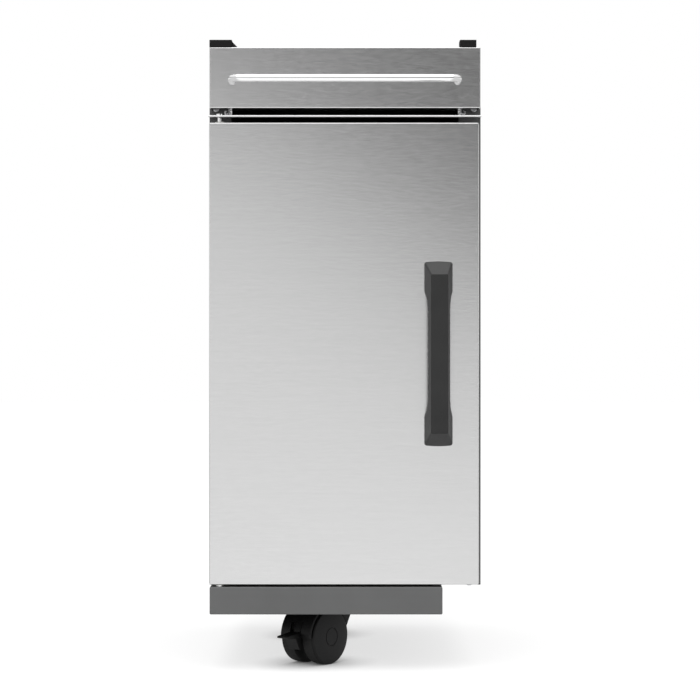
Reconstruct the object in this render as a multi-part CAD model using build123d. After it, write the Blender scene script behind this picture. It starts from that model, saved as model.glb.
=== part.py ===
from build123d import *
import math
import os

# Grill side cabinet. Millimetres, +X to the right, -Y to the front, +Z up, floor at Z = 0.
# The origin is below the middle of the whole object.

# Cabinet body
cabinet_width = 397.0  # across the outside of the side panels
cabinet_depth = 520.0  # from the door's face to the worktop's rear lip
sheet = 1.2  # wall of the folded steel panels
bend = 1.6  # outer radius of the folds that show
fold_corner = 2.0  # corners where two folds meet
flange_width = 32.0  # inward return round each side panel
floor_thickness = 2.0
worktop_sheet = 1.5
worktop_lip = 22.0
shelf_height = 470.0  # top of the shelf above the ground
shelf_lip = 15.0
shelf_room = 4.0  # in front of and behind the shelf
shelf_pin_radius = 3.5
shelf_pin_spigot = 2.5
shelf_pin_length = 14.0
shelf_pin_inset = 60.0  # from the shelf's front and back edges

# Door and its hinge
door_height = 670.0
door_thickness = 20.0
door_corner = 3.0
door_gap_left = 1.3  # door edge inside the cabinet's left side
door_gap_right = 4.0
door_gap_below = 3.5
liner_flange = 17.0
hinge_inset = 15.0  # pin axis from the door's left edge
pin_radius = 3.0
pin_head_radius = 5.0
pin_head_height = 3.5
pin_engagement = 12.0  # pin inside the door
bush_radius = 5.0
bush_length = 15.0
bush_flange_radius = 7.0
bush_flange = 1.5
swing_clearance = 3.0  # behind the door's swinging rear corner

# Door handle
handle_length = 268.0
handle_reach = 42.0  # how far it stands out from the door
handle_base = 41.0  # width on the door
handle_face = 24.5  # width of the flat front face
handle_inset = 59.0  # from the door's free edge to the handle's middle line
handle_height = 460.0
handle_end_slope = 20.0  # height of each sloping end
handle_grip = 18.0  # thickness of the grip
handle_foot = 43.0  # height of each foot on the door
handle_foot_slope = 15.0  # the foot's inner wall leans by this much
handle_arch = 28.0
handle_corner = 4.0  # corners of the feet on the door
handle_front_corner = 2.5
handle_crown = 1.2  # bow of each end
handle_edge = 1.8

# Cross rail above the door
rail_gap = 8.0  # from the door's top to the rail
rail_edge = 3.0
rail_sheet = 1.5
rail_bead = 1.4  # rounding of the rail's front edge
rail_inset = 0.5  # inside the cabinet's side
rail_tab = 9.5  # height of the lug at each end
rail_tab_width = 11.0

# Fascia, towel rail and top blocks
fascia_gap = 10.0  # from the cross rail to the fascia
fascia_height = 88.5
fascia_inset = 1.8
fascia_tab = 20.0  # width of the lugs behind the fascia's ends
fascia_tab_drop = 7.0  # how far the lugs hang below the fascia
fascia_notch = 26.0  # corner relief in the bottom fold
towel_span = 338.0
towel_radius = 5.5
towel_reach = 36.0  # fascia's face to the rod's axis
towel_bend = 13.0
towel_height = 39.0  # above the fascia's bottom edge
block_height = 10.5
block_depth = 29.0
left_block_top = 32.5
left_block_bottom = 41.0
block_step = 3.0  # fin beside the left block, behind its face
fin_drop = 1.9  # fin below the left block's top
right_block_width = 24.0
right_block_inset = 6.0
block_corner = 1.5

# Base frame
base_stop = 57.0  # the frame ends this far inside the cabinet's right side
base_height = 40.0
base_depth = 45.0  # front and rear rail, front to back
base_side_width = 30.0
base_inset = 2.0
bearer_width = 60.0
bearer_height = 21.8
bearer_sheet = 2.0

# Castors
castor_line = -28.0  # both stems stand on this line across the cabinet
castor_setback = 105.0  # stem behind the door's face, and before the back
castor_heading = 232.0  # degrees, the way the wheels trail at rest
castor_trail = 28.0
wheel_diameter = 82.0
wheel_width = 23.0
wheel_spacing = 19.0  # between the inner faces of a pair of wheels
wheel_dome = 1.6  # how far the hub cap stands out from the rim
wheel_edge = 2.0  # rounding of the rim
wheel_lip = 4.0  # rim that closes the tread's outer side
lip_drop = 0.4  # rim kept clear of the ground
tread_depth = 5.0
tread_edge = 1.0
cap_radius = 12.5
cap_groove = 1.2
axle_radius = 4.0
axle_cover = 5.0  # wheel left closed over the axle's end
hood_gap = 2.0
hood_wall = 3.5
hood_half_width = 28.2
hood_tower = 55.0  # stem housing's far wall from the axle
hood_tower_waist = 41.6
hood_tower_low = 33.3
hood_skirt = 10.5
hood_edge = 2.0
hood_end_angle = 2.0
slot_end_angle = 30.0  # top of the slot that the brake lever works in
web_width = 13.0
axle_boss_radius = 11.0
boss_radius = 7.5
boss_rise = 3.5
boss_top_radius = 12.0
boss_depth = 40.0
stem_radius = 5.45
stem_collar_radius = 11.0
stem_collar = 7.5
stem_thread_radius = 5.0
stem_thread = 13.0
nut_radius = 9.5
nut_height = 8.0

# Brake lever, placed from the axle along the way the wheels trail
brake_pivot = 36.0
brake_pivot_up = 8.0
brake_eye = 4.5  # radius of each cheek round the pin
brake_heel = 45.0  # back of the tread plate
brake_tip = 75.0
brake_top = 9.0  # tread plate above the axle at its heel
brake_fall = 3.5  # tread plate slopes down to its tip by this much
brake_lip = 2.8  # thickness at the tip
brake_knee = 57.0  # where the apron meets the plate's underside
brake_knee_up = 1.0
brake_drop = 16.0  # apron below the axle
brake_half_width = 10.0
brake_edge = 0.8
brake_pin_radius = 2.0

# Catch and bumpers
catch_width = 14.0
catch_height = 46.0
catch_below_top = 80.0
catch_wall = 2.0
strike_plate = 1.5
bumper_radius = 5.0
bumper_from_end = 30.0

# Fasteners
back_rivet_rows = 4
rivet_radius = 2.4
rivet_head_radius = 4.5
rivet_head_height = 1.4
rivet_tail_radius = 3.6
rivet_tail_height = 2.0
screw_radius = 2.5
screw_head_radius = 4.5
screw_head_height = 2.5
screw_length = 8.0
handle_screw_depth = 22.0
handle_screw_inset = 24.0
grill_bolt_radius = 3.3
grill_bolts_across = 340.0
grill_bolts_up = 500.0
grill_bolts_height = 500.0

# Clearances
fit_gap = 0.2  # between nested sheets
running_gap = 0.05  # shaft in its bore
touch_gap = 0.3  # faces of different moving parts

# Levels worked out from the sizes above
wheel_radius = wheel_diameter / 2
axle_height = wheel_radius
hood_outer = wheel_radius + hood_gap + hood_wall
hood_top = axle_height + hood_outer
boss_top = hood_top + boss_rise
bearer_bottom = boss_top + touch_gap + stem_collar
bearer_top = bearer_bottom + bearer_height
base_top = bearer_top + sheet
base_bottom = base_top - base_height
floor_top = base_top + floor_thickness
door_bottom = base_top + door_gap_below
door_top = door_bottom + door_height
rail_bottom = door_top + rail_gap
rail_top = rail_bottom + rail_edge
fascia_bottom = rail_top + fascia_gap
fascia_top = fascia_bottom + fascia_height
panel_top = fascia_top - worktop_sheet

# Planes worked out from the sizes above
half_width = cabinet_width / 2
inner_half = half_width - sheet
door_face = (handle_reach - cabinet_depth) / 2
door_back = door_face + door_thickness
hinge_y = door_face + door_thickness / 2
swing_radius = math.hypot(hinge_inset, door_thickness / 2)
flange_front = hinge_y + swing_radius + swing_clearance
cabinet_back = door_face + cabinet_depth
carcass_back = cabinet_back - worktop_sheet - sheet
door_left = -half_width + door_gap_left
door_right = half_width - door_gap_right
handle_x = door_right - handle_inset
hinge_x = door_left + hinge_inset
base_left = -half_width + base_inset
base_right = half_width - base_stop
flange_middle = half_width - flange_width / 2
rail_tab_x = half_width - fascia_inset - fascia_tab - fit_gap - rail_tab_width / 2

SIDES = {"left": -1, "right": 1}
AXES = {"X": Axis.X, "Y": Axis.Y, "Z": Axis.Z}


def block(x, y, z):
    """Box between a low and a high limit along each axis."""
    spans = [sorted(span) for span in (x, y, z)]
    middle = [(low + high) / 2 for low, high in spans]
    return Pos(*middle) * Box(*[high - low for low, high in spans])


def open_shell(solid, wall, *open_sides):
    """Thin wall inside a solid, left open on the named sides such as +Y."""
    openings = []
    for sign, name in open_sides:
        ordered = solid.faces().sort_by(AXES[name])
        openings.append(ordered[-1] if sign == "+" else ordered[0])
    return offset(solid, amount=-wall, openings=openings)


def folded_pan(x, y, z, corner, open_side):
    """Sheet pan with rounded corners and folds, open at the front or the back."""
    pan = fillet(block(x, y, z).edges().filter_by(Axis.Y), corner)
    ends = pan.faces().sort_by(Axis.Y)
    closed = ends[0] if open_side == "+Y" else ends[-1]
    return open_shell(fillet(closed.edges(), bend), sheet, open_side)


def bar(start, end, radius):
    """Round bar from one point to another."""
    run = Vector(*end) - Vector(*start)
    return extrude(Plane(origin=start, z_dir=run) * Circle(radius), amount=run.length)


def post(x, y, low, high, radius):
    """Upright round bar between two levels."""
    return bar((x, y, low), (x, y, high), radius)


def axle_bar(x, z, reach, radius):
    """Round bar across the castor, reaching as far to both sides."""
    return bar((x, -reach, z), (x, reach, z), radius)


def rivet(point, direction, grip):
    """Blind rivet: its head lies on the point and its tail closes behind the grip."""
    start = Vector(*point)
    along = Vector(*direction)
    tail = start + along * grip
    body = bar(start, tail, rivet_radius)
    body += bar(start - along * rivet_head_height, start, rivet_head_radius)
    body += bar(tail, tail + along * rivet_tail_height, rivet_tail_radius)
    return body


def screw(point, direction, length):
    """Pan-head screw: the head lies on the point and the shank runs on from it."""
    start = Vector(*point)
    along = Vector(*direction)
    head = bar(start - along * screw_head_height, start, screw_head_radius)
    rim = head.edges().filter_by(GeomType.CIRCLE).sort_by_distance(start)[-1]
    head = fillet(rim, screw_head_height / 2)
    return head + bar(start, start + along * length, screw_radius)


def drill(solid, points, direction, radius, depth):
    """Cut round holes that run both ways from each point along a direction."""
    along = Vector(*direction)
    for point in points:
        middle = Vector(*point)
        solid -= bar(middle - along * depth, middle + along * depth, radius)
    return solid


def fascia_screw_points(side):
    """Two screws hold each end of the fascia to a side panel's front flange."""
    x = side * (half_width - fascia_tab / 2)
    low = fascia_bottom + screw_head_radius - screw_radius
    high = fascia_top - fascia_tab
    return [(x, flange_front - sheet, low), (x, flange_front - sheet, high)]


def rail_rivet_point(side):
    """One rivet holds each end of the cross rail to a side panel's front flange."""
    return (side * rail_tab_x, flange_front - rail_sheet, rail_top + rail_tab / 2)


def back_rivet_points(side):
    """Rivets along the back panel's edge."""
    step = (panel_top - floor_top) / back_rivet_rows
    heights = [floor_top + step * (row + 0.5) for row in range(back_rivet_rows)]
    return [(side * flange_middle, carcass_back + sheet, height) for height in heights]


def floor_rivet_points(side):
    """Rivets through a side panel's bottom flange and the floor."""
    front = (flange_front + door_face + base_depth) / 2 + sheet
    rear = carcass_back - base_depth / 2
    return [(side * flange_middle, y, floor_top + sheet) for y in (front, rear)]


def frame_rivet_points():
    """Rivets through the floor and the base frame's right-hand rails."""
    x = base_right - base_side_width / 2
    return [(x, y, floor_top) for _, y, _ in floor_rivet_points(1)]


def shelf_pin_points(side):
    """Seats of the shelf pins on a side panel's inner face."""
    height = shelf_height - sheet - shelf_pin_radius
    front = flange_front + sheet + shelf_room + shelf_pin_inset
    rear = carcass_back - sheet - shelf_room - shelf_pin_inset
    return [(side * inner_half, y, height) for y in (front, rear)]


def grill_bolt_points():
    """Four bolt holes where the grill's cart is fixed to the right side."""
    middle = (flange_front + carcass_back) / 2
    return [
        (half_width, middle + i * grill_bolts_across / 2, grill_bolts_height + k * grill_bolts_up / 2)
        for i in (-1, 1)
        for k in (-1, 1)
    ]


def side_panel(side):
    """Folded side panel with a return on all four edges."""
    x = (side * half_width, side * (half_width - flange_width))
    panel = block(x, (flange_front, carcass_back), (floor_top, panel_top))
    panel = open_shell(panel, sheet, "-X" if side > 0 else "+X")
    panel = drill(panel, fascia_screw_points(side), (0, 1, 0), screw_radius, 2 * sheet + fit_gap)
    panel = drill(panel, [rail_rivet_point(side)], (0, 1, 0), rivet_radius, 2 * rail_sheet + fit_gap)
    panel = drill(panel, back_rivet_points(side), (0, 1, 0), rivet_radius, 2 * sheet + fit_gap)
    panel = drill(panel, floor_rivet_points(side), (0, 0, 1), rivet_radius, 2 * sheet)
    panel = drill(panel, shelf_pin_points(side), (1, 0, 0), shelf_pin_spigot, 2 * sheet)
    if side > 0:
        panel = drill(panel, grill_bolt_points(), (1, 0, 0), grill_bolt_radius, 2 * sheet)
    return panel


def build_carcass():
    """Side panels, back, floor, worktop, shelf and cross rail."""
    nodes = {f"{name}_side_panel": side_panel(side) for name, side in SIDES.items()}

    both_back = back_rivet_points(-1) + back_rivet_points(1)
    back = block((-inner_half, inner_half), (carcass_back, carcass_back + sheet), (floor_top, panel_top))
    nodes["back_panel"] = drill(back, both_back, (0, 1, 0), rivet_radius, 2 * sheet)
    nodes["back_rivets"] = [rivet(point, (0, -1, 0), 2 * sheet) for point in both_back]

    both_floor = floor_rivet_points(-1) + floor_rivet_points(1) + frame_rivet_points()
    floor = block((-half_width, half_width), (flange_front, carcass_back + sheet), (base_top, floor_top))
    nodes["floor_panel"] = drill(floor, both_floor, (0, 0, 1), rivet_radius, 2 * floor_thickness)

    top_z = (fascia_top - worktop_lip, fascia_top)
    top = block((-half_width, half_width), (flange_front, cabinet_back), top_z)
    nodes["worktop"] = open_shell(top, worktop_sheet, "-Z", "-X", "+X", "-Y")

    shelf_x = inner_half - fit_gap
    shelf_y = (flange_front + sheet + shelf_room, carcass_back - sheet - shelf_room)
    shelf = block((-shelf_x, shelf_x), shelf_y, (shelf_height - shelf_lip, shelf_height))
    nodes["shelf"] = open_shell(shelf, sheet, "-Z", "-X", "+X")
    pins = []
    for side in SIDES.values():
        for x, y, z in shelf_pin_points(side):
            pin = bar((x, y, z), (x - side * shelf_pin_length, y, z), shelf_pin_radius)
            pins.append(pin + bar((x, y, z), (x + side * sheet, y, z), shelf_pin_spigot))
    nodes["shelf_pins"] = pins

    front, rear = door_face, flange_front
    section = Polyline(
        (front, rail_bottom),
        (front, rail_top),
        (rear, rail_top),
        (rear, rail_top - rail_sheet),
        (front + rail_sheet, rail_top - rail_sheet),
        (front + rail_sheet, rail_bottom),
        close=True,
    )
    rail = extrude(make_face(Plane.YZ * section), amount=half_width - rail_inset, both=True)
    rail = fillet(rail.edges().filter_by(Axis.X).group_by(Axis.Y)[0], rail_bead)
    for side in SIDES.values():
        tab_x = (side * (rail_tab_x - rail_tab_width / 2), side * (rail_tab_x + rail_tab_width / 2))
        rail += block(tab_x, (rear - rail_sheet, rear), (rail_top - rail_sheet, rail_top + rail_tab))
    rail = drill(rail, [(hinge_x, hinge_y, rail_top)], (0, 0, 1), pin_radius, 2 * rail_sheet)
    rivets = [rail_rivet_point(side) for side in SIDES.values()]
    nodes["cross_rail"] = drill(rail, rivets, (0, 1, 0), rivet_radius, 2 * rail_sheet)
    nodes["cross_rail_rivets"] = [rivet(point, (0, 1, 0), rail_sheet + sheet) for point in rivets]
    return nodes


def build_fascia():
    """Front fascia with its towel rail and the two blocks on top."""
    half = half_width - fascia_inset
    fascia_y, fascia_z = (door_face, flange_front), (fascia_bottom, fascia_top)
    fascia = folded_pan((-half, half), fascia_y, fascia_z, fold_corner, "+Y")
    screws = []
    for side in SIDES.values():
        tab_x = (side * (half - sheet), side * (half - fascia_tab))
        tab_z = (fascia_bottom - fascia_tab_drop, fascia_top - sheet)
        fascia += block(tab_x, (flange_front - sheet, flange_front), tab_z)
        notch_x = (side * (half - sheet), side * (half - fascia_notch))
        notch_z = (fascia_bottom, fascia_bottom + sheet)
        fascia -= block(notch_x, (door_face + sheet, flange_front - sheet), notch_z)
        points = fascia_screw_points(side)
        fascia = drill(fascia, points, (0, 1, 0), screw_radius, 2 * sheet)
        screws += [screw(point, (0, 1, 0), screw_length) for point in points]

    rod_x = towel_span / 2 - towel_radius
    rod_y = door_face - towel_reach
    rod_z = fascia_bottom + towel_height
    path = FilletPolyline(
        (-rod_x, door_face, rod_z),
        (-rod_x, rod_y, rod_z),
        (rod_x, rod_y, rod_z),
        (rod_x, door_face, rod_z),
        radius=towel_bend,
    )
    rod = sweep(Plane(path @ 0, z_dir=path % 0) * Circle(towel_radius), path=path)
    ends = [(side * rod_x, door_face + sheet, rod_z) for side in SIDES.values()]
    fascia = drill(fascia, ends, (0, 1, 0), screw_radius, 2 * sheet)
    rod_screws = [screw(point, (0, -1, 0), sheet + screw_length) for point in ends]
    for x, y, z in ends:
        rod -= bar((x, door_face, z), (x, door_face - screw_length, z), screw_radius)

    block_y = (door_face, door_face + block_depth)
    low, high = fascia_top, fascia_top + block_height
    right_x = half - right_block_inset
    spans = {
        "left_top_block": (-half, left_block_top - half),
        "right_top_block": (right_x - right_block_width, right_x),
    }
    blocks = {}
    block_screws = []
    for name, (left, right) in spans.items():
        solid = block((left, right), block_y, (low, high))
        solid = fillet(solid.edges().filter_by(Axis.Z), block_corner)
        if name == "left_top_block":
            toe = left + left_block_bottom
            fin = Polyline((right, low), (toe, low), (right, high - fin_drop), close=True)
            fin_face = make_face(Plane.XZ.offset(-door_face - block_step) * fin)
            solid += extrude(fin_face, amount=block_depth - 2 * block_step, dir=(0, 1, 0))
        seat = ((left + right) / 2, door_face + block_depth / 2, fascia_top - sheet)
        blocks[name] = drill(solid, [seat], (0, 0, 1), screw_radius, screw_length)
        fascia = drill(fascia, [seat], (0, 0, 1), screw_radius, 2 * sheet)
        block_screws.append(screw(seat, (0, 0, 1), screw_length))
    return {
        "fascia": fascia,
        "fascia_screws": screws,
        "towel_rail": rod,
        "towel_rail_screws": rod_screws,
        **blocks,
        "top_block_screws": block_screws,
    }


def build_base():
    """Folded base frame with the channel that carries the castors."""
    z = (base_bottom, base_top)
    front_y = (door_face, door_face + base_depth)
    rear_y = (cabinet_back - base_depth, cabinet_back)
    side_y = (front_y[1], rear_y[0])
    full_x = (base_left, base_right)
    left_x = (base_left, base_left + base_side_width)
    right_x = (base_right - base_side_width, base_right)
    rivets = floor_rivet_points(-1) + frame_rivet_points()
    rails = {
        "base_front_rail": folded_pan(full_x, front_y, z, fold_corner, "+Y"),
        "base_rear_rail": folded_pan(full_x, rear_y, z, fold_corner, "-Y"),
    }
    for side, x, inward in (("left", left_x, "+X"), ("right", right_x, "-X")):
        rail = block(x, side_y, z)
        folds = rail.edges().filter_by(Axis.Y).group_by(Axis.X)[0 if side == "left" else -1]
        rails[f"base_{side}_rail"] = open_shell(fillet(folds, fold_corner), sheet, inward)
    for name in ("base_front_rail", "base_rear_rail"):
        rails[name] = drill(rails[name], rivets, (0, 0, 1), rivet_radius, base_height / 2)
    foot = (hinge_x, hinge_y, base_top)
    rails["base_front_rail"] = drill(rails["base_front_rail"], [foot], (0, 0, 1), pin_radius, 2 * sheet)

    bearer_x = (castor_line - bearer_width / 2, castor_line + bearer_width / 2)
    bearer_y = (door_face + bend, cabinet_back - bend)
    bearer = block(bearer_x, bearer_y, (bearer_bottom, bearer_top))
    bearer = open_shell(bearer, bearer_sheet, "+Z", "-Y", "+Y")
    seats = [(castor_line, y, bearer_bottom) for y in castor_rows().values()]
    rails["castor_bearer"] = drill(bearer, seats, (0, 0, 1), stem_thread_radius, 2 * bearer_sheet)

    clamp = floor_thickness + sheet
    grips = [(point, clamp + sheet) for point in floor_rivet_points(-1)]
    grips += [(point, clamp) for point in floor_rivet_points(1)]
    grips += [(point, clamp) for point in frame_rivet_points()]
    rails["floor_rivets"] = [rivet(point, (0, 0, -1), grip) for point, grip in grips]
    return rails


def build_hinge():
    """Upper and lower hinge pins, and the bushes they turn in."""
    at = (hinge_x, hinge_y)
    upper = post(*at, rail_top, rail_top + pin_head_height, pin_head_radius)
    upper = chamfer(upper.edges().group_by(Axis.Z)[-1], pin_head_height / 3)
    upper += post(*at, rail_top, door_top - pin_engagement, pin_radius)
    lower = post(*at, base_top, door_bottom - bush_flange - touch_gap, pin_head_radius)
    lower += post(*at, base_top - sheet, door_bottom + pin_engagement, pin_radius)

    bushes = {}
    for name, face, inward in (("upper", door_top, -1), ("lower", door_bottom, 1)):
        rim = face - inward * bush_flange
        deep = face + inward * bush_length
        sleeve = post(*at, face, deep, bush_radius) + post(*at, face, rim, bush_flange_radius)
        bushes[f"{name}_hinge_bush"] = sleeve - post(*at, rim, deep, pin_radius + running_gap)
    return {"upper_hinge_pin": upper, "lower_hinge_pin": lower, **bushes}


def build_handle():
    """Moulded pull: a tapered block with rounded corners, arched clear of the door for the hand."""
    half = handle_length / 2
    edge_x, edge_z = handle_base / 2, half - handle_crown
    base = Line((-edge_x, -edge_z), (-edge_x, edge_z))
    base += ThreePointArc((-edge_x, edge_z), (0, half), (edge_x, edge_z))
    base += Line((edge_x, edge_z), (edge_x, -edge_z))
    base += ThreePointArc((edge_x, -edge_z), (0, -half), (-edge_x, -edge_z))
    base = make_face(Plane.XZ * base)
    base = fillet(base.vertices(), handle_corner)
    front = RectangleRounded(handle_face, handle_length - 2 * handle_end_slope, handle_front_corner)
    handle = loft([base, Plane.XZ.offset(handle_reach) * front], ruled=True)

    gap = handle_reach - handle_grip
    foot = half - handle_foot
    arch = FilletPolyline(
        (0, -foot),
        (-gap, handle_foot_slope - foot),
        (-gap, foot - handle_foot_slope),
        (0, foot),
        radius=handle_arch,
    )
    room = make_face(Plane.YZ * (arch + Line((0, foot), (0, -foot))))
    handle -= extrude(room, amount=handle_base, both=True)
    handle = fillet(handle.faces().sort_by(Axis.Y)[0].edges(), handle_edge)
    seats = [(0, 0, side * (half - handle_screw_inset)) for side in (-1, 1)]
    handle = drill(handle, seats, (0, 1, 0), screw_radius, handle_screw_depth)
    return Pos(handle_x, door_face, handle_height) * handle


def build_door():
    """Door skin, inner liner, handle and the catch's strike plate."""
    leaf_x, leaf_y = (door_left, door_right), (door_face, door_back)
    skin = folded_pan(leaf_x, leaf_y, (door_bottom, door_top), door_corner, "+Y")
    inset = sheet + fit_gap
    liner = block(
        (door_left + inset, door_right - inset),
        (door_back - liner_flange, door_back),
        (door_bottom + inset, door_top - inset),
    )
    liner = fillet(liner.edges().filter_by(Axis.Y), door_corner - inset)
    liner = open_shell(liner, sheet, "-Y")
    for face in (door_top, door_bottom):
        skin = drill(skin, [(hinge_x, hinge_y, face)], (0, 0, 1), bush_radius, bush_length)
        liner = drill(liner, [(hinge_x, hinge_y, face)], (0, 0, 1), bush_radius, bush_length)

    offset_z = handle_length / 2 - handle_screw_inset
    seats = [(handle_x, door_face + sheet, handle_height + side * offset_z) for side in (-1, 1)]
    skin = drill(skin, seats, (0, 1, 0), screw_radius, 2 * sheet)
    screws = [screw(point, (0, -1, 0), sheet + handle_screw_depth) for point in seats]

    strike_z = door_top - catch_below_top
    strike = block(
        (flange_middle - catch_width / 2, flange_middle + catch_width / 2),
        (door_back, door_back + strike_plate),
        (strike_z - catch_height / 2, strike_z + catch_height / 2),
    )
    return {
        "door_skin": skin,
        "door_liner": liner,
        "door_handle": build_handle(),
        "handle_screws": screws,
        "strike_plate": strike,
    }


def build_catch():
    """Magnetic catch and bumpers on the right side panel's front flange."""
    front = door_back + strike_plate + touch_gap
    middle = door_top - catch_below_top
    x = (flange_middle - catch_width / 2, flange_middle + catch_width / 2)
    z = (middle - catch_height / 2, middle + catch_height / 2)
    housing = block(x, (front, flange_front), z)
    magnet_x = (x[0] + catch_wall, x[1] - catch_wall)
    magnet_z = (z[0] + 2 * catch_wall, z[1] - 2 * catch_wall)
    magnet = block(magnet_x, (front, flange_front - catch_wall), magnet_z)
    bumpers = []
    for height in (door_bottom + bumper_from_end, door_top - bumper_from_end):
        tip = (flange_middle, door_back + touch_gap, height)
        bumper = bar((flange_middle, flange_front, height), tip, bumper_radius)
        bumpers.append(fillet(bumper.edges().group_by(Axis.Y)[0], bumper_radius / 4))
    return {"catch_housing": housing - magnet, "catch_magnet": magnet, "door_bumpers": bumpers}


def castor_rows():
    """Where the two castor stems stand, front to back."""
    return {"front": door_face + castor_setback, "rear": cabinet_back - castor_setback}


def polar(radius, degrees):
    """Point at a radius and an angle in the castor's side view."""
    return (radius * math.cos(math.radians(degrees)), radius * math.sin(math.radians(degrees)))


def castor_hood():
    """Moulded fork and mudguards; the axle lies along Y at the origin and the wheels trail to +X."""
    start = polar(hood_outer, hood_end_angle)
    crown = (0, hood_outer)
    waist = (-hood_tower_waist, hood_skirt)
    boss = axle_boss_radius
    outline = ThreePointArc(start, polar(hood_outer, (90 + hood_end_angle) / 2), crown)
    outline += Polyline(crown, (-hood_tower, hood_outer), (-hood_tower, hood_tower_low), waist, (-boss, 0))
    outline += ThreePointArc((-boss, 0), (0, -boss), (boss, 0))
    outline += Line((boss, 0), start)
    hood = extrude(make_face(Plane.XZ * outline), amount=hood_half_width, both=True)
    rim = hood.faces().filter_by(Axis.Y).edges().filter_by_position(Axis.Z, hood_skirt, 2 * hood_outer)
    hood = fillet(rim, hood_edge)

    wheel_space = wheel_radius + hood_gap
    for side in SIDES.values():
        hood -= bar((0, side * web_width / 2, 0), (0, side * 2 * hood_half_width, 0), wheel_space)
    reach = 2 * hood_outer
    fan = Polyline((0, 0), polar(reach, -slot_end_angle), polar(reach, slot_end_angle), close=True)
    slot = extrude(make_face(Plane.XZ * fan), amount=brake_half_width + touch_gap, both=True)
    hood -= slot - axle_bar(0, 0, hood_half_width, wheel_space)

    hood += axle_bar(0, 0, wheel_spacing / 2 - touch_gap, axle_boss_radius)
    high = hood_outer + boss_rise
    hood += post(-castor_trail, 0, high - boss_depth, high, boss_radius)
    hood += post(-castor_trail, 0, hood_outer, high, boss_top_radius)
    hood -= post(-castor_trail, 0, high - boss_depth, high, stem_radius + running_gap)
    hood -= axle_bar(0, 0, wheel_spacing, axle_radius)
    hood -= axle_bar(brake_pivot, brake_pivot_up, web_width, brake_pin_radius)
    return hood


def castor_wheel(side):
    """One wheel as a domed disc and the tread behind its rim, turned about the axle along Y."""
    inner = wheel_spacing / 2
    seat = wheel_radius - tread_depth
    rim = wheel_width - wheel_dome
    lip = rim - wheel_lip
    lip_radius = wheel_radius - lip_drop
    bore = axle_radius + running_gap
    groove = cap_radius + cap_groove
    blind = wheel_width - axle_cover
    trim = wheel_edge * (1 - 1 / math.sqrt(2))
    corner = ThreePointArc(
        (lip_radius, rim - wheel_edge), (lip_radius - trim, rim - trim), (lip_radius - wheel_edge, rim)
    )
    crest = ((lip_radius - wheel_edge + groove) / 2, rim + wheel_dome * 2 / 3)
    dome = ThreePointArc(corner @ 1, crest, (groove, wheel_width))
    disc = Polyline((0, blind), (bore, blind), (bore, 0), (seat, 0), (seat, lip), (lip_radius, lip), corner @ 0)
    disc += corner + dome
    disc += Polyline(
        dome @ 1,
        (groove, wheel_width - cap_groove),
        (cap_radius, wheel_width - cap_groove),
        (cap_radius, wheel_width),
        (0, wheel_width),
        (0, blind),
    )
    tread = Polyline(
        (seat, lip),
        (seat, 0),
        (wheel_radius - tread_edge, 0),
        (wheel_radius, tread_edge),
        (wheel_radius, lip),
        close=True,
    )
    turned = [revolve(make_face(Plane.XZ * profile), Axis.Z) for profile in (disc, tread)]
    return [Rot(-90 * side, 0, 0) * Pos(0, 0, inner) * solid for solid in turned]


def castor_brake():
    """Foot lever pinned to the hood's web; pushed down, its apron closes on both treads."""
    plate = Polyline(
        (brake_heel, brake_top),
        (brake_tip, brake_top - brake_fall),
        (brake_tip, brake_top - brake_fall - brake_lip),
        (brake_knee, brake_knee_up),
        (brake_heel + brake_lip, -brake_drop),
        (brake_heel, -brake_drop),
        close=True,
    )
    lever = extrude(make_face(Plane.XZ * plate), amount=brake_half_width, both=True)
    lever = fillet(lever.edges().filter_by(Axis.Y), brake_edge)
    arm = Polyline(
        (brake_pivot, brake_pivot_up + brake_eye),
        (brake_heel + brake_lip, brake_top - brake_edge),
        (brake_heel + brake_lip, -brake_eye),
        (brake_pivot, brake_pivot_up - brake_eye),
        close=True,
    )
    cheeks = extrude(make_face(Plane.XZ * arm), amount=wheel_spacing / 2 - touch_gap, both=True)
    cheeks += axle_bar(brake_pivot, brake_pivot_up, wheel_spacing / 2 - touch_gap, brake_eye)
    web = web_width / 2 + touch_gap
    room = (0, brake_heel)
    cheeks -= block(room, (-web, web), (-hood_outer, hood_outer))
    lever += cheeks
    lever -= axle_bar(brake_pivot, brake_pivot_up, wheel_spacing, brake_pin_radius + running_gap)
    pin = axle_bar(brake_pivot, brake_pivot_up, wheel_spacing / 2 - touch_gap, brake_pin_radius)
    return [lever, pin]


def build_castors():
    """Two braked twin-wheel castors under the castor bearer."""
    nodes = {}
    nuts = []
    lever, pin = castor_brake()
    axle_end = wheel_spacing / 2 + wheel_width - axle_cover - touch_gap
    for row, y in castor_rows().items():
        place = Pos(castor_line, y, 0) * Rot(0, 0, castor_heading) * Pos(castor_trail, 0, axle_height)
        nodes[f"{row}_castor_hood"] = place * castor_hood()
        nodes[f"{row}_castor_axle"] = place * axle_bar(0, 0, axle_end, axle_radius)
        nodes[f"{row}_castor_brake_lever"] = place * lever
        nodes[f"{row}_castor_brake_pin"] = place * pin
        for name, side in SIDES.items():
            core, tread = castor_wheel(side)
            nodes[f"{row}_castor_{name}_wheel"] = place * core
            nodes[f"{row}_castor_{name}_tread"] = place * tread

        at = (castor_line, y)
        stem = post(*at, boss_top - boss_depth + touch_gap, bearer_bottom, stem_radius)
        stem += post(*at, bearer_bottom - stem_collar, bearer_bottom, stem_collar_radius)
        stem += post(*at, bearer_bottom, bearer_bottom + stem_thread, stem_thread_radius)
        nodes[f"{row}_castor_stem"] = stem
        seat = bearer_bottom + bearer_sheet
        nut = extrude(Plane((*at, seat)) * RegularPolygon(nut_radius, 6), amount=nut_height)
        nuts.append(nut - post(*at, seat, seat + nut_height, stem_thread_radius))
    nodes["castor_nuts"] = nuts
    return nodes


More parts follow.
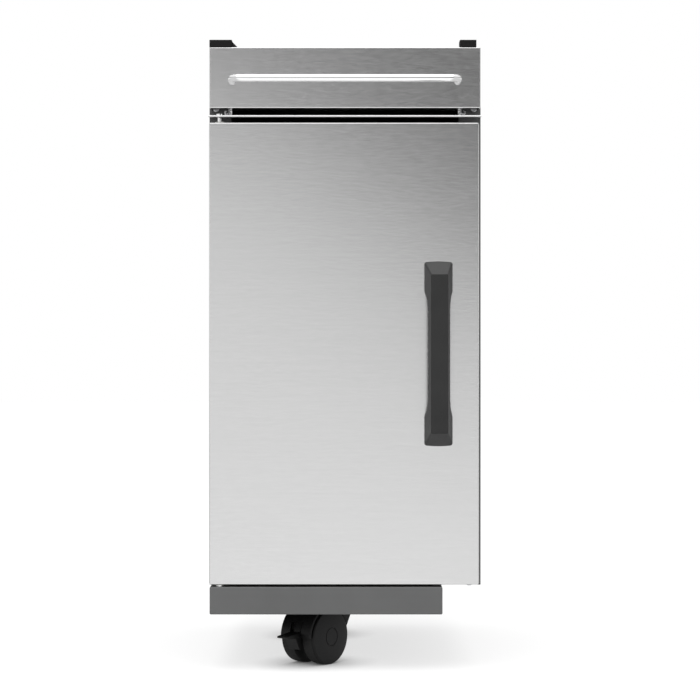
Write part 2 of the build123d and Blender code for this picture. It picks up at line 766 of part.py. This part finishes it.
def main():
    """Build every piece and write one file for each node."""
    nodes = build_carcass() | build_fascia() | build_base() | build_hinge()
    nodes |= build_door() | build_catch() | build_castors()
    os.makedirs("parts", exist_ok=True)
    for name, shape in nodes.items():
        solids = shape if isinstance(shape, list) else [shape]
        export_step(Compound([solid for piece in solids for solid in piece.solids()]), f"parts/{name}.step")


main()
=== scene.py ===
import logging
import math
from dataclasses import dataclass, replace
from enum import Enum

import bmesh
import bpy
from mathutils import Matrix, Vector


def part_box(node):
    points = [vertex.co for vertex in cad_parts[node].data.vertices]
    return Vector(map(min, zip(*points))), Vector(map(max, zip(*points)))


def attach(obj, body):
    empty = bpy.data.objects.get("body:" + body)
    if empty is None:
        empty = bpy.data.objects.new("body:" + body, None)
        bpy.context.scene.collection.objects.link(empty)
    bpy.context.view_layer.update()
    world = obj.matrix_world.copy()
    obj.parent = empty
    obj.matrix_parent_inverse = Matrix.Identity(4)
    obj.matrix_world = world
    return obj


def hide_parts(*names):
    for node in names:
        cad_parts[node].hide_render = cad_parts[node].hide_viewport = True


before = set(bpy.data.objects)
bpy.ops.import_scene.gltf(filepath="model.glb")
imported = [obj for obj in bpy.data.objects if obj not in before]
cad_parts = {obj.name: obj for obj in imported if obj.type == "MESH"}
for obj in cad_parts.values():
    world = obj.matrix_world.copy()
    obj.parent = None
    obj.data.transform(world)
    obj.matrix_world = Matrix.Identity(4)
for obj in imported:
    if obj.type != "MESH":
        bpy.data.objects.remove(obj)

Colour = tuple[float, float, float]
Triple = tuple[float, float, float]
Span = tuple[float, float]
Socket = bpy.types.NodeSocket
Level = float | Socket

PATTERN_ENDS: Span = (0.25, 0.75)
MASK_ENDS: Span = (0.0, 1.0)
WELD = 1e-6

log = logging.getLogger("grill_side_cabinet")
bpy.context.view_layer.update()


class Grain(Enum):
    """Axis that the brush lines run along, with the axis that the shader's tangent turns round."""

    ACROSS = ("X", "Z")
    DEEP = ("Y", "X")


class Graph:
    """Short calls for building one material's node tree."""

    def __init__(self, name: str) -> None:
        """Start a material with one principled shader.

        Args:
            name: name of the material.
        """
        self.material = bpy.data.materials.new(name)
        self.material.use_nodes = True
        self.tree = self.material.node_tree
        self.shader = self.tree.nodes["Principled BSDF"]
        self.output = self.tree.nodes["Material Output"]
        self.place = self.node("ShaderNodeTexCoord").outputs["Object"]

    def node(self, kind: str, **settings: object) -> bpy.types.Node:
        """Add a node.

        Args:
            kind: Blender's name for the node type.
            settings: properties to set on the node.

        Returns:
            The new node.
        """
        made = self.tree.nodes.new(kind)
        for name, value in settings.items():
            setattr(made, name, value)
        return made

    def link(self, source: Socket, target: Socket) -> None:
        """Join two sockets.

        Args:
            source: output that gives the value.
            target: input that takes it.
        """
        self.tree.links.new(source, target)

    def stretched(self, scale: Triple) -> Socket:
        """Scale the surface coordinates, which are in metres.

        Args:
            scale: repeats per metre along X, Y and Z.

        Returns:
            The scaled coordinates.
        """
        mapping = self.node("ShaderNodeMapping")
        mapping.inputs["Scale"].default_value = scale
        self.link(self.place, mapping.inputs["Vector"])
        return mapping.outputs["Vector"]

    def noise(self, scale: Triple, detail: float = 3.0) -> Socket:
        """Make a soft random pattern.

        Args:
            scale: repeats per metre along X, Y and Z.
            detail: how many finer layers it has.

        Returns:
            Its value, from 0 to 1.
        """
        pattern = self.node("ShaderNodeTexNoise")
        pattern.inputs["Scale"].default_value = 1.0
        pattern.inputs["Detail"].default_value = detail
        self.link(self.stretched(scale), pattern.inputs["Vector"])
        return pattern.outputs["Fac"]

    def cells(self, scale: float) -> Socket:
        """Make a cell pattern.

        Args:
            scale: cells per metre.

        Returns:
            The distance from each cell's middle.
        """
        pattern = self.node("ShaderNodeTexVoronoi")
        pattern.inputs["Scale"].default_value = 1.0
        self.link(self.stretched((scale, scale, scale)), pattern.inputs["Vector"])
        return pattern.outputs["Distance"]

    def blend(self, first: Socket, second: Socket, share: float) -> Socket:
        """Blend two patterns.

        Args:
            first: one pattern.
            second: the other pattern.
            share: share of the second pattern, from 0 to 1.

        Returns:
            The blended pattern.
        """
        mixed = self.node("ShaderNodeMix", data_type="FLOAT")
        mixed.inputs[0].default_value = share
        self.link(first, mixed.inputs[2])
        self.link(second, mixed.inputs[3])
        return mixed.outputs[0]

    def span(self, value: Socket, low: float, high: float) -> Socket:
        """Spread a pattern's middle range between two numbers.

        Args:
            value: pattern from 0 to 1.
            low: result where the pattern is dark.
            high: result where the pattern is bright.

        Returns:
            The spread value.
        """
        spread = self.node("ShaderNodeMapRange")
        spread.inputs["From Min"].default_value, spread.inputs["From Max"].default_value = PATTERN_ENDS
        spread.inputs["To Min"].default_value, spread.inputs["To Max"].default_value = low, high
        self.link(value, spread.inputs["Value"])
        return spread.outputs["Result"]

    def gloss(self, value: Socket, roughness: float, shares: Span) -> None:
        """Vary the surface's roughness by a pattern.

        Args:
            value: pattern from 0 to 1.
            roughness: the middle roughness.
            shares: shares of it where the pattern is dark and where it is bright.
        """
        low, high = (roughness * share for share in shares)
        self.link(self.span(value, low, high), self.shader.inputs["Roughness"])

    def step(self, value: Socket, ends: Span, start: Level, stop: Level) -> Socket:
        """Pass smoothly from one level to another.

        Args:
            value: what the change follows.
            ends: where the change starts and where it stops.
            start: level before the change, a number or a socket.
            stop: level after the change, a number or a socket.

        Returns:
            The level.
        """
        change = self.node("ShaderNodeMapRange", interpolation_type="SMOOTHSTEP")
        change.inputs["From Min"].default_value, change.inputs["From Max"].default_value = ends
        for name, level in (("To Min", start), ("To Max", stop)):
            if isinstance(level, Socket):
                self.link(level, change.inputs[name])
            else:
                change.inputs[name].default_value = level
        self.link(value, change.inputs["Value"])
        return change.outputs["Result"]

    def tint(self, value: Socket, colour: Colour, shares: Span) -> None:
        """Colour the surface by a pattern.

        Args:
            value: pattern from 0 to 1.
            colour: the middle colour.
            shares: shares of it where the pattern is dark and where it is bright.
        """
        ramp = self.node("ShaderNodeValToRGB")
        for end, position, share in zip(ramp.color_ramp.elements, PATTERN_ENDS, shares):
            end.position = position
            end.color = (*shaded(colour, share), 1.0)
        self.link(value, ramp.inputs["Fac"])
        self.link(ramp.outputs["Color"], self.shader.inputs["Base Color"])

    def bump(self, value: Socket, height: float, strength: float) -> None:
        """Raise the surface by a pattern.

        Args:
            value: pattern from 0 to 1.
            height: how high the pattern stands, in metres.
            strength: share of that height to show.
        """
        relief = self.node("ShaderNodeBump")
        relief.inputs["Distance"].default_value = height
        relief.inputs["Strength"].default_value = strength
        self.link(value, relief.inputs["Height"])
        self.link(relief.outputs["Normal"], self.shader.inputs["Normal"])


def shaded(colour: Colour, share: float) -> Colour:
    """Brighten or darken a colour.

    Args:
        colour: linear red, green and blue.
        share: 1 leaves it, less is darker.

    Returns:
        The new colour.
    """
    red, green, blue = colour
    return (red * share, green * share, blue * share)


@dataclass(frozen=True)
class Finish:
    """What every finish has: a slot in the record, a colour and a gloss."""

    slot: str
    colour: Colour
    roughness: float

    def material(self) -> bpy.types.Material:
        """Build the finish's material.

        Returns:
            The material.
        """
        raise NotImplementedError


@dataclass(frozen=True)
class BrushedSteel(Finish):
    """Stainless sheet with fine brush lines one way."""

    grain: Grain = Grain.ACROSS
    line_pitch: float = 0.0028
    line_length: float = 0.012
    streak_pitch: float = 0.003
    streak_length: float = 0.12
    line_detail: float = 3.0
    line_height: float = 0.00007
    line_strength: float = 0.4
    streak_detail: float = 4.0
    streak_share: float = 0.3
    tones: Span = (0.96, 1.04)
    gloss: Span = (0.94, 1.06)
    stretch: float = 0.2
    stretch_turn: float = 0.25

    def lines(self, pitch: float, length: float) -> Triple:
        """Give the repeats of a pattern drawn out along the grain.

        Args:
            pitch: size of the pattern across the grain, in metres.
            length: size of the pattern along the grain, in metres.

        Returns:
            Repeats per metre along X, Y and Z.
        """
        along = self.grain.value[0]
        x, y, z = (1.0 / (length if axis == along else pitch) for axis in "XYZ")
        return (x, y, z)

    def material(self) -> bpy.types.Material:
        """Build brushed steel.

        Returns:
            The material.
        """
        graph = Graph(f"{self.slot}_{self.grain.name.lower()}")
        fine = graph.noise(self.lines(self.line_pitch, self.line_length), self.line_detail)
        streaks = graph.noise(self.lines(self.streak_pitch, self.streak_length), self.streak_detail)
        graph.tint(graph.blend(fine, streaks, self.streak_share), self.colour, self.tones)
        graph.gloss(fine, self.roughness, self.gloss)
        graph.shader.inputs["Metallic"].default_value = 1.0
        graph.shader.inputs["Anisotropic"].default_value = self.stretch
        graph.shader.inputs["Anisotropic Rotation"].default_value = self.stretch_turn
        tangent = graph.node("ShaderNodeTangent", direction_type="RADIAL", axis=self.grain.value[1])
        graph.link(tangent.outputs["Tangent"], graph.shader.inputs["Tangent"])
        graph.bump(fine, self.line_height, self.line_strength)
        return graph.material


@dataclass(frozen=True)
class PowderCoat(Finish):
    """Sprayed and baked paint with a fine dimpled skin."""

    dimple: float = 0.0016
    dimple_detail: float = 2.0
    dimple_depth: float = 0.00004
    dimple_strength: float = 0.35
    clouds: float = 14.0
    tones: Span = (0.94, 1.06)
    gloss: Span = (0.9, 1.1)

    def material(self) -> bpy.types.Material:
        """Build powder coat.

        Returns:
            The material.
        """
        graph = Graph(self.slot)
        scale = 1.0 / self.dimple
        skin = graph.noise((scale, scale, scale), self.dimple_detail)
        graph.tint(graph.noise((self.clouds, self.clouds, self.clouds)), self.colour, self.tones)
        graph.gloss(skin, self.roughness, self.gloss)
        graph.bump(skin, self.dimple_depth, self.dimple_strength)
        return graph.material


@dataclass(frozen=True)
class MouldedPlastic(Finish):
    """Moulding with a spark-eroded grain."""

    grain: float = 0.0007
    grain_depth: float = 0.00004
    grain_strength: float = 0.4
    clouds: float = 25.0
    tones: Span = (0.88, 1.12)
    gloss: Span = (0.88, 1.12)
    sheen: float = 0.2

    def material(self) -> bpy.types.Material:
        """Build moulded plastic.

        Returns:
            The material.
        """
        graph = Graph(self.slot)
        scale = 1.0 / self.grain
        pits = graph.noise((scale, scale, scale))
        graph.tint(graph.noise((self.clouds, self.clouds, self.clouds)), self.colour, self.tones)
        graph.gloss(pits, self.roughness, self.gloss)
        graph.shader.inputs["Specular IOR Level"].default_value = self.sheen
        graph.bump(pits, self.grain_depth, self.grain_strength)
        return graph.material


@dataclass(frozen=True)
class PolishedMetal(Finish):
    """Bright plated metal with faint polishing haze."""

    haze: Triple = (60.0, 400.0, 400.0)
    tones: Span = (0.97, 1.02)
    gloss: Span = (0.7, 1.4)

    def material(self) -> bpy.types.Material:
        """Build polished metal.

        Returns:
            The material.
        """
        graph = Graph(self.slot)
        haze = graph.noise(self.haze)
        graph.tint(haze, self.colour, self.tones)
        graph.gloss(haze, self.roughness, self.gloss)
        graph.shader.inputs["Metallic"].default_value = 1.0
        return graph.material


@dataclass(frozen=True)
class ZincPlate(Finish):
    """Dull plated steel with small spangles."""

    spangle: float = 0.0025
    haze: Triple = (300.0, 300.0, 300.0)
    haze_depth: float = 0.00002
    haze_strength: float = 0.2
    tones: Span = (0.85, 1.1)
    gloss: Span = (0.8, 1.25)

    def material(self) -> bpy.types.Material:
        """Build zinc plate.

        Returns:
            The material.
        """
        graph = Graph(self.slot)
        haze = graph.noise(self.haze)
        graph.tint(graph.cells(1.0 / self.spangle), self.colour, self.tones)
        graph.gloss(haze, self.roughness, self.gloss)
        graph.shader.inputs["Metallic"].default_value = 1.0
        graph.bump(haze, self.haze_depth, self.haze_strength)
        return graph.material


STEEL_ACROSS = BrushedSteel("brushed_steel", (0.683, 0.683, 0.683), 0.244)
STEEL_DEEP = replace(STEEL_ACROSS, grain=Grain.DEEP)
CHROME = PolishedMetal("polished_chrome", (0.9, 0.9, 0.9), 0.06)
GREY_PAINT = PowderCoat("grey_paint", (0.168, 0.17, 0.17), 0.42)
PANEL_PAINT = PowderCoat("panel_paint", (0.12, 0.12, 0.12), 0.5)
CHARCOAL = MouldedPlastic("charcoal_plastic", (0.034, 0.034, 0.034), 0.5, sheen=0.3)
BLOCK_BLACK = MouldedPlastic("block_plastic", (0.008, 0.008, 0.008), 0.55)
NYLON = MouldedPlastic("nylon", (0.6, 0.6, 0.57), 0.4)
ZINC = ZincPlate("zinc_steel", (0.6, 0.6, 0.61), 0.32)
FERRITE = MouldedPlastic("magnet", (0.05, 0.05, 0.052), 0.7, grain=0.0004)
RUBBER = MouldedPlastic("rubber", (0.018, 0.018, 0.018), 0.75)
CASTOR_BLACK = MouldedPlastic("castor_plastic", (0.007, 0.007, 0.0072), 0.45)
CASTOR_TREAD = MouldedPlastic("castor_tread", (0.018, 0.018, 0.018), 0.6)
CASTOR_STEEL = ZincPlate("castor_steel", (0.58, 0.58, 0.59), 0.34)


class Wardrobe:
    """Builds each finish's material once and hands it out."""

    def __init__(self) -> None:
        """Start with no material built."""
        self.made: dict[Finish, bpy.types.Material] = {}

    def material(self, finish: Finish) -> bpy.types.Material:
        """Give a finish's material.

        Args:
            finish: the finish wanted.

        Returns:
            Its material, the same one each time.
        """
        if finish not in self.made:
            self.made[finish] = finish.material()
        return self.made[finish]

    def dress(self, finish: Finish, *nodes: str) -> None:
        """Put a finish on CAD nodes.

        Args:
            finish: the finish to use.
            nodes: names of the nodes.
        """
        for node in nodes:
            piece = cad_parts[node]
            piece.data.materials.clear()
            piece.data.materials.append(self.material(finish))
            log.info("%s wears %s", node, finish.slot)

    def paint_back(self, finish: Finish, node: str, depth: float) -> None:
        """Put a second finish on the faces at a CAD node's back.

        Args:
            finish: the finish to use.
            node: name of the node.
            depth: how far from the back those faces reach, in metres.
        """
        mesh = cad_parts[node].data
        mesh.materials.append(self.material(finish))
        limit = max(vert.co.y for vert in mesh.vertices) - depth
        for face in mesh.polygons:
            if min(mesh.vertices[index].co.y for index in face.vertices) > limit:
                face.material_index = 1
        log.info("%s has %s at its back", node, finish.slot)


@dataclass
class RivetRow:
    """Blind rivets of one CAD node, with domed heads and the stub of the mandrel."""

    wardrobe: Wardrobe
    node: str
    body: str
    steps: int = 28
    head: float = 0.0014
    shank: float = 0.0024
    tail: float = 0.002
    tail_swell: tuple[Span, ...] = ((1.4, 0.2), (1.5, 0.6))
    tail_end: Span = (1.25, 0.2)
    tail_tip: float = 0.6
    mandrel: float = 0.0011
    well: float = 0.0005
    crown: tuple[float, ...] = (0.36, 0.55, 0.72, 0.86, 0.95)
    crown_power: float = 2.4
    rim: tuple[Span, ...] = ((1.0, 0.96), (0.98, 1.0))
    stub: tuple[Span, ...] = ((0.8, 1.0), (1.0, 0.7), (1.2, 0.0))
    end_share: float = 0.49

    def solids(self) -> list[list[Vector]]:
        """Sort the CAD node's points into one list for each rivet.

        Returns:
            The points of each rivet.
        """
        shape = bmesh.new()
        shape.from_mesh(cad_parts[self.node].data)
        bmesh.ops.remove_doubles(shape, verts=shape.verts, dist=WELD)
        left = set(shape.verts)
        groups = []
        while left:
            found = [left.pop()]
            for vert in found:
                near = [edge.other_vert(vert) for edge in vert.link_edges]
                fresh = [other for other in near if other in left]
                left.difference_update(fresh)
                found.extend(fresh)
            groups.append([vert.co.copy() for vert in found])
        shape.free()
        return groups

    def place(self, points: list[Vector]) -> tuple[Matrix, float, float]:
        """Find how a rivet lies.

        Args:
            points: the points of one rivet.

        Returns:
            The turn and place of its head's top, the head's radius and the rivet's length.
        """
        low = Vector([min(point[axis] for point in points) for axis in range(3)])
        high = Vector([max(point[axis] for point in points) for axis in range(3)])
        middle, size = (low + high) / 2, high - low
        uneven = [abs(size[(axis + 1) % 3] - size[(axis + 2) % 3]) for axis in range(3)]
        axis = uneven.index(min(uneven))
        along = Vector([float(index == axis) for index in range(3)])
        length = size[axis]

        def reach(side: float) -> float:
            """Find the widest radius at one end.

            Args:
                side: 1 for the far end of the axis, -1 for the near one.

            Returns:
                The radius, in metres.
            """
            offsets = [point - middle for point in points]
            ends = [offset for offset in offsets if offset[axis] * side > length * self.end_share]
            return max((offset - along * offset[axis]).length for offset in ends)

        side = -1.0 if reach(-1.0) > reach(1.0) else 1.0
        radius = reach(side)
        turn = (along * -side).to_track_quat("Z", "Y").to_matrix().to_4x4()
        return Matrix.Translation(middle + along * side * length / 2) @ turn, radius, length

    def profile(self, radius: float, length: float) -> list[Span]:
        """Draw half of a rivet's outline from the mandrel's stub to its tail.

        Args:
            radius: radius of the head.
            length: whole length of the rivet.

        Returns:
            Distance from the axis and depth below the head's top.
        """
        wall, head = self.shank, self.head
        start = length - self.tail
        end_width, end_rise = self.tail_end
        return [
            (0.0, self.well),
            *((self.mandrel * width, self.well * depth) for width, depth in self.stub),
            *((radius * share, head * share**self.crown_power) for share in self.crown),
            *((radius * width, head * depth) for width, depth in self.rim),
            (wall, head),
            (wall, start),
            *((wall * width, start + head * depth) for width, depth in self.tail_swell),
            (wall * end_width, length - head * end_rise),
            (wall * self.tail_tip, length),
            (0.0, length),
        ]

    def build(self) -> None:
        """Turn the rivets and put them in the CAD node's place."""
        whole = bmesh.new()
        for points in self.solids():
            at, radius, length = self.place(points)
            verts = [whole.verts.new((x, 0.0, z)) for x, z in self.profile(radius, length)]
            edges = [whole.edges.new(pair) for pair in zip(verts, verts[1:])]
            bmesh.ops.spin(
                whole, geom=verts + edges, cent=(0, 0, 0), axis=(0, 0, 1), angle=math.tau, steps=self.steps
            )
            made = {vert for vert in whole.verts if not vert.tag}
            bmesh.ops.transform(whole, matrix=at, verts=list(made))
            for vert in made:
                vert.tag = True
            log.info("%s has a rivet of %d points", self.node, len(made))
        bmesh.ops.remove_doubles(whole, verts=whole.verts, dist=WELD)
        bmesh.ops.recalc_face_normals(whole, faces=whole.faces)
        mesh = bpy.data.meshes.new(f"{self.node}_domed")
        whole.to_mesh(mesh)
        whole.free()
        mesh.shade_smooth()
        mesh.materials.append(self.wardrobe.material(ZINC))
        piece = bpy.data.objects.new(mesh.name, mesh)
        bpy.context.collection.objects.link(piece)
        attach(piece, self.body)
        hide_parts(self.node)


@dataclass
class Carcass:
    """Folded side panels, back, floor, shelf and worktop."""

    wardrobe: Wardrobe

    def dress(self) -> None:
        """Finish the panels and their rivets."""
        panels = ("left_side_panel", "right_side_panel", "back_panel", "floor_panel", "shelf")
        self.wardrobe.dress(PANEL_PAINT, *panels)
        self.wardrobe.dress(STEEL_DEEP, "worktop")
        self.wardrobe.dress(ZINC, "shelf_pins")
        for row in ("back_rivets", "floor_rivets"):
            RivetRow(self.wardrobe, row, "cabinet").build()
        self.wardrobe.dress(BLOCK_BLACK, "catch_housing")
        self.wardrobe.dress(FERRITE, "catch_magnet")
        self.wardrobe.dress(RUBBER, "door_bumpers")


@dataclass
class Fascia:
    """Front panel with its towel rail, the cross rail below and the blocks above."""

    wardrobe: Wardrobe
    lug_depth: float = 0.0013

    def dress(self) -> None:
        """Finish the fascia's pieces, with the faces at its back in the dark panel paint, which makes the
        ends of the upper gap dark, and no image of the rail in its face.
        """
        self.wardrobe.dress(STEEL_ACROSS, "fascia", "cross_rail")
        # dark panel paint on the lugs at the ends of the upper gap, which darkens those ends
        self.wardrobe.paint_back(PANEL_PAINT, "fascia", self.lug_depth)
        self.wardrobe.dress(CHROME, "towel_rail")
        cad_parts["towel_rail"].visible_glossy = False
        self.wardrobe.dress(BLOCK_BLACK, "left_top_block", "right_top_block")
        self.wardrobe.dress(ZINC, "fascia_screws", "towel_rail_screws", "top_block_screws")
        RivetRow(self.wardrobe, "cross_rail_rivets", "cabinet").build()


@dataclass
class Door:
    """Door leaf, its pull and its hinges."""

    wardrobe: Wardrobe

    def dress(self) -> None:
        """Finish the door's pieces."""
        self.wardrobe.dress(STEEL_ACROSS, "door_skin")
        self.wardrobe.dress(PANEL_PAINT, "door_liner")
        self.wardrobe.dress(CHARCOAL, "door_handle")
        self.wardrobe.dress(CHROME, "upper_hinge_pin", "lower_hinge_pin")
        self.wardrobe.dress(NYLON, "upper_hinge_bush", "lower_hinge_bush")
        self.wardrobe.dress(ZINC, "handle_screws", "strike_plate")


@dataclass
class BaseFrame:
    """Painted rails under the cabinet that carry the castors."""

    wardrobe: Wardrobe

    def dress(self) -> None:
        """Finish the base frame."""
        rails = [f"base_{side}_rail" for side in ("front", "rear", "left", "right")]
        self.wardrobe.dress(GREY_PAINT, *rails, "castor_bearer")
        self.wardrobe.dress(ZINC, "castor_nuts")


@dataclass
class Castor:
    """One braked castor with a pair of wheels."""

    wardrobe: Wardrobe
    row: str

    def dress(self) -> None:
        """Finish the castor's pieces."""
        stem = f"{self.row}_castor_"
        wheels = [f"{stem}{side}_wheel" for side in ("left", "right")]
        treads = [f"{stem}{side}_tread" for side in ("left", "right")]
        self.wardrobe.dress(CASTOR_BLACK, f"{stem}hood", f"{stem}brake_lever", *wheels)
        self.wardrobe.dress(CASTOR_TREAD, *treads)
        self.wardrobe.dress(CASTOR_STEEL, f"{stem}stem", f"{stem}axle", f"{stem}brake_pin")


@dataclass
class Studio:
    """Pale floor, graded ring for the steel to reflect, soft lamp, world and camera."""

    view_distance: float = 3.0
    view_width: float = 1.015
    view_side: float = 0.00725
    view_height: float = 0.4655
    sensor: float = 36.0
    floor_half: float = 15.0
    card_radius: float = 6.0
    card_low: float = math.radians(0.5)
    card_high: float = math.radians(36.0)
    card_steps: int = 96
    card_slant: float = 0.715
    card_sides: Span = (-0.6, 0.9)
    front_fall: Span = (1.15, 1.37)
    front_dark: float = 0.01
    front_rise: Span = (2.2, 3.4)
    front_turn: Span = (math.radians(45.0), math.radians(25.0))
    round_fall: Span = (1.0, 2.4)
    round_dark: float = 0.45
    round_rise: Span = (3.4, 4.8)
    lamp_place: Triple = (-0.1, -1.2, 3.4)
    lamp_size: float = 3.0
    lamp_power: float = 45.0
    fill: float = 0.72
    floor_glow: float = 0.69
    front_glow: float = 0.65
    side_glow: float = 0.26
    near_fade: Span = (0.25, 0.45)
    floor_colour: Colour = (0.46, 0.46, 0.46)
    painted_shade_reach: float = 0.06
    painted_shade_samples: int = 16

    def seen(self, tree: bpy.types.NodeTree) -> Socket:
        """Tell the rays that show a background from those that only light.

        Args:
            tree: node tree to add to.

        Returns:
            1 for camera, glossy and transmission rays, else 0.
        """
        path = tree.nodes.new("ShaderNodeLightPath")
        total = path.outputs["Is Camera Ray"]
        for name in ("Is Glossy Ray", "Is Transmission Ray"):
            either = tree.nodes.new("ShaderNodeMath")
            either.operation = "MAXIMUM"
            tree.links.new(total, either.inputs[0])
            tree.links.new(path.outputs[name], either.inputs[1])
            total = either.outputs[0]
        return total

    def build_world(self) -> None:
        """White where it is seen, and softer where it only lights."""
        world = bpy.data.worlds.new("studio")
        world.use_nodes = True
        tree = world.node_tree
        background = tree.nodes["Background"]
        background.inputs["Color"].default_value = (1.0, 1.0, 1.0, 1.0)
        level = tree.nodes.new("ShaderNodeMapRange")
        level.inputs["To Min"].default_value = self.fill
        level.inputs["To Max"].default_value = 1.0
        tree.links.new(self.seen(tree), level.inputs["Value"])
        tree.links.new(level.outputs["Result"], background.inputs["Strength"])
        bpy.context.scene.world = world

    def build_floor(self) -> None:
        """Lay a pale floor that keeps the cabinet's shadow, with painted shade where its glow is dimmed
        close under the castors.
        """
        mesh = bpy.data.meshes.new("studio_floor")
        half = self.floor_half
        corners = [(-half, -half, 0.0), (half, -half, 0.0), (half, half, 0.0), (-half, half, 0.0)]
        mesh.from_pydata(corners, [], [(0, 1, 2, 3)])
        floor = bpy.data.objects.new("studio_floor", mesh)
        bpy.context.collection.objects.link(floor)
        graph = Graph("studio_floor")
        graph.tree.nodes.remove(graph.shader)
        matt = graph.node("ShaderNodeBsdfDiffuse")
        matt.inputs["Color"].default_value = (*self.floor_colour, 1.0)
        # painted shade: ambient occlusion dims the floor's glow where the castor wheels and lever stand
        # close over it
        painted_near_shade = graph.node("ShaderNodeAmbientOcclusion", samples=self.painted_shade_samples)
        painted_near_shade.inputs["Distance"].default_value = self.painted_shade_reach
        glow = graph.node("ShaderNodeEmission")
        shown = graph.node("ShaderNodeMath", operation="MULTIPLY")
        graph.link(self.floor_level(graph), shown.inputs[0])
        graph.link(painted_near_shade.outputs["AO"], shown.inputs[1])
        graph.link(shown.outputs[0], glow.inputs["Strength"])
        both = graph.node("ShaderNodeAddShader")
        graph.link(matt.outputs[0], both.inputs[0])
        graph.link(glow.outputs[0], both.inputs[1])
        graph.link(both.outputs[0], graph.output.inputs["Surface"])
        mesh.materials.append(graph.material)

    def floor_level(self, graph: Graph) -> Socket:
        """Set how much the floor glows: even where it is seen, and less to the sides where it is reflected.

        Args:
            graph: the floor's node tree.

        Returns:
            The strength of the glow.
        """
        away = graph.node("ShaderNodeVectorMath", operation="SUBTRACT")
        away.inputs[1].default_value = (0.0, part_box("door_skin")[0].y, 0.0)
        graph.link(graph.place, away.inputs[0])
        aim = graph.node("ShaderNodeVectorMath", operation="NORMALIZE")
        graph.link(away.outputs["Vector"], aim.inputs[0])
        split = graph.node("ShaderNodeSeparateXYZ")
        graph.link(aim.outputs["Vector"], split.inputs["Vector"])
        wide, narrow = (-math.cos(turn) for turn in self.front_turn)
        mirrored = graph.step(split.outputs["Y"], (narrow, wide), self.front_glow, self.side_glow)
        reach = graph.node("ShaderNodeVectorMath", operation="LENGTH")
        graph.link(away.outputs["Vector"], reach.inputs[0])
        mirrored = graph.step(reach.outputs["Value"], self.near_fade, self.front_glow, mirrored)
        path = graph.node("ShaderNodeLightPath")
        level = graph.step(path.outputs["Is Camera Ray"], MASK_ENDS, mirrored, self.floor_glow)
        return graph.step(self.seen(graph.tree), MASK_ENDS, 0.0, level)

    def build_card(self) -> None:
        """Stand a graded ring round the object for the steel to reflect, darkest behind the camera."""
        mesh = bpy.data.meshes.new("studio_card")
        shape = bmesh.new()
        rows = []
        for rise in (self.card_low, self.card_high):
            height = self.view_height + self.card_radius * math.tan(rise)
            turns = [math.tau * step / self.card_steps for step in range(self.card_steps)]
            points = [(math.sin(turn), -math.cos(turn)) for turn in turns]
            corners = [(x * self.card_radius, y * self.card_radius, height) for x, y in points]
            rows.append([shape.verts.new(corner) for corner in corners])
        low, high = rows
        for step in range(self.card_steps):
            shape.faces.new((low[step - 1], low[step], high[step], high[step - 1]))
        shape.to_mesh(mesh)
        shape.free()
        card = bpy.data.objects.new("studio_card", mesh)
        bpy.context.collection.objects.link(card)
        card.visible_camera = False
        card.visible_diffuse = False
        card.visible_shadow = False
        mesh.materials.append(self.card_material())

    def card_material(self) -> bpy.types.Material:
        """Grade the ring from white at its foot to dark and back to white.

        Returns:
            The material.
        """
        graph = Graph("studio_card")
        graph.tree.nodes.remove(graph.shader)
        split = graph.node("ShaderNodeSeparateXYZ")
        graph.link(graph.place, split.inputs["Vector"])
        height = split.outputs["Z"]
        side = graph.node("ShaderNodeClamp")
        side.inputs["Min"].default_value, side.inputs["Max"].default_value = self.card_sides
        graph.link(split.outputs["X"], side.inputs["Value"])
        slant = graph.node("ShaderNodeMath", operation="MULTIPLY_ADD")
        slant.inputs[1].default_value = self.card_slant
        graph.link(side.outputs["Result"], slant.inputs[0])
        graph.link(height, slant.inputs[2])
        front = graph.step(slant.outputs["Value"], self.front_fall, 1.0, self.front_dark)
        front = graph.step(height, self.front_rise, front, 1.0)
        plain = graph.step(height, self.round_fall, 1.0, self.round_dark)
        plain = graph.step(height, self.round_rise, plain, 1.0)
        wide, narrow = (-self.card_radius * math.cos(turn) for turn in self.front_turn)
        tone = graph.step(split.outputs["Y"], (narrow, wide), front, plain)
        glow = graph.node("ShaderNodeEmission")
        graph.link(tone, glow.inputs["Strength"])
        graph.link(glow.outputs[0], graph.output.inputs["Surface"])
        return graph.material

    def build_lamp(self) -> None:
        """Hang one large soft lamp over the front."""
        data = bpy.data.lights.new("overhead_softbox", "AREA")
        data.shape = "SQUARE"
        data.size = self.lamp_size
        data.energy = self.lamp_power
        lamp = bpy.data.objects.new("overhead_softbox", data)
        lamp.location = self.lamp_place
        aim = Vector((0.0, 0.0, self.view_height)) - lamp.location
        lamp.rotation_euler = aim.to_track_quat("-Z", "Y").to_euler()
        bpy.context.collection.objects.link(lamp)

    def build_camera(self) -> None:
        """Set a level camera square to the door."""
        data = bpy.data.cameras.new("camera")
        data.sensor_width = self.sensor
        data.lens = self.sensor * self.view_distance / self.view_width
        camera = bpy.data.objects.new("camera", data)
        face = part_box("door_skin")[0].y
        camera.location = (self.view_side, face - self.view_distance, self.view_height)
        camera.rotation_euler = (math.pi / 2, 0.0, 0.0)
        bpy.context.collection.objects.link(camera)
        bpy.context.scene.camera = camera

    def build(self) -> None:
        """Set up everything round the object."""
        bpy.context.scene.view_settings.view_transform = "Standard"
        self.build_world()
        self.build_floor()
        self.build_card()
        self.build_lamp()
        self.build_camera()
        log.info("studio is set")


def main() -> None:
    """Dress the cabinet and light it."""
    logging.basicConfig(level=logging.INFO)
    wardrobe = Wardrobe()
    assemblies = [Carcass(wardrobe), Fascia(wardrobe), Door(wardrobe), BaseFrame(wardrobe)]
    assemblies += [Castor(wardrobe, row) for row in ("front", "rear")]
    for assembly in assemblies:
        assembly.dress()
    Studio().build()


if __name__ == "__main__":
    main()
